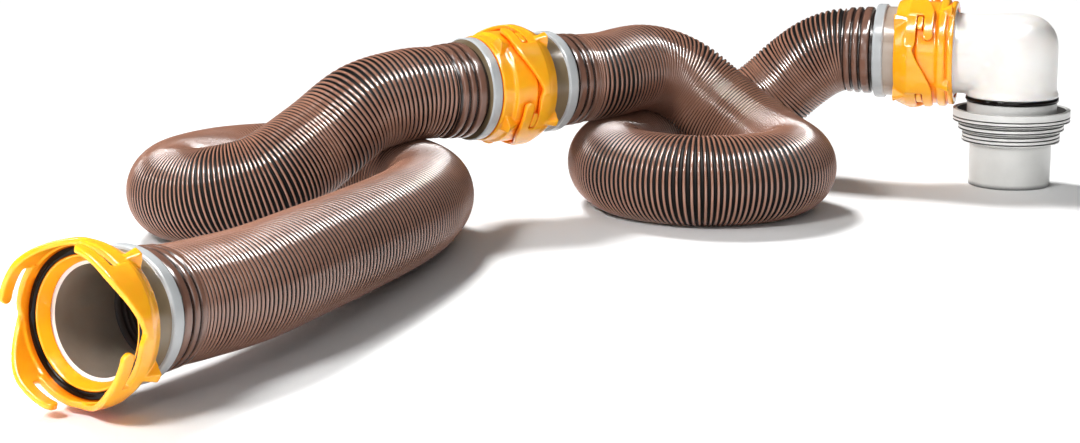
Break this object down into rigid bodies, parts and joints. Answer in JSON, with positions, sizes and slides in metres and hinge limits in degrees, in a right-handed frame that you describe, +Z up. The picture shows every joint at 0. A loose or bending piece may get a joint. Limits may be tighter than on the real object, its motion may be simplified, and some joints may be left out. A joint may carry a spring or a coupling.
{
  "type": "sewer hose kit",
  "caption": "Corrugated waste hose laid in loose loops, with swivelling bayonet fittings at its ends and between its runs, a right-angle elbow and a stepped threaded pipe adapter.",
  "frame": {"origin": "centre of the pipe adapter's open lower end, on the surface that the kit lies on", "axes": "+Z up along the adapter's and elbow's upright axis; +X along the rear coupling, from the hose into the elbow; +Y to the back"},
  "size_m": [0.796, 1.0883, 0.1845],
  "materials": {
    "amber_plastic": "glossy moulded",
    "collar_plastic": "glossy moulded",
    "hose_vinyl": "glossy corrugated",
    "cuff_vinyl": "glossy moulded",
    "seal_rubber": "smooth",
    "elbow_plastic": "satin translucent",
    "adapter_plastic": "satin moulded"
  },
  "bodies": {
    "root": {"front_collar": "collar_plastic", "front_hose_head_cuff": "cuff_vinyl", "front_hose": "hose_vinyl", "front_hose_rise": "hose_vinyl", "front_hose_tail_cuff": "cuff_vinyl", "mid_left_collar": "collar_plastic", "mid_right_collar": "collar_plastic", "rear_hose_head_cuff": "cuff_vinyl", "rear_hose_drop": "hose_vinyl", "rear_hose": "hose_vinyl", "rear_hose_rise": "hose_vinyl", "rear_hose_tail_cuff": "cuff_vinyl", "rear_collar": "collar_plastic"},
    "front_ring": {"front_bayonet_ring": "amber_plastic", "front_gasket": "seal_rubber", "front_swivel_seal": "seal_rubber"},
    "mid_lug": {"mid_lug_ring": "amber_plastic", "mid_lug_seal": "seal_rubber"},
    "mid_ring": {"mid_bayonet_ring": "amber_plastic", "mid_gasket": "seal_rubber", "mid_swivel_seal": "seal_rubber"},
    "rear_ring": {"rear_bayonet_ring": "amber_plastic", "rear_gasket": "seal_rubber", "rear_swivel_seal": "seal_rubber"},
    "elbow_lug": {"elbow_lug_ring": "amber_plastic", "elbow_lug_seal": "seal_rubber"},
    "elbow": {"elbow": "elbow_plastic", "elbow_gasket": "seal_rubber", "elbow_spigot": "adapter_plastic"},
    "adapter": {"sewer_adapter": "adapter_plastic", "adapter_seal": "seal_rubber"}
  },
  "joints": [
    {"name": "front_swivel", "type": "hinge", "parent": "root", "child": "front_ring", "pos_m": [-0.495, -0.953, 0.0575], "axis": [-0.2753, -0.9599, 0.0523], "continuous": true},
    {"name": "mid_swivel", "type": "hinge", "parent": "root", "child": "mid_lug", "pos_m": [-0.46416, -0.32588, 0.121], "axis": [0.6157, 0.788, 0], "continuous": true},
    {"name": "mid_twist", "type": "hinge", "parent": "mid_lug", "child": "mid_ring", "pos_m": [-0.46416, -0.32588, 0.121], "axis": [0.6157, 0.788, 0], "range_deg": [0, 30.5]},
    {"name": "rear_swivel", "type": "hinge", "parent": "root", "child": "rear_ring", "pos_m": [-0.134, 0, 0.129], "axis": [1, 0, 0], "continuous": true},
    {"name": "rear_twist", "type": "hinge", "parent": "rear_ring", "child": "elbow_lug", "pos_m": [-0.134, 0, 0.129], "axis": [1, 0, 0], "range_deg": [0, 30.5]},
    {"name": "elbow_swivel", "type": "hinge", "parent": "root", "child": "elbow", "pos_m": [-0.134, 0, 0.129], "axis": [1, 0, 0], "continuous": true},
    {"name": "adapter_swivel", "type": "hinge", "parent": "elbow", "child": "adapter", "pos_m": [0, 0, 0.05], "axis": [0, 0, 1], "continuous": true}
  ]
}
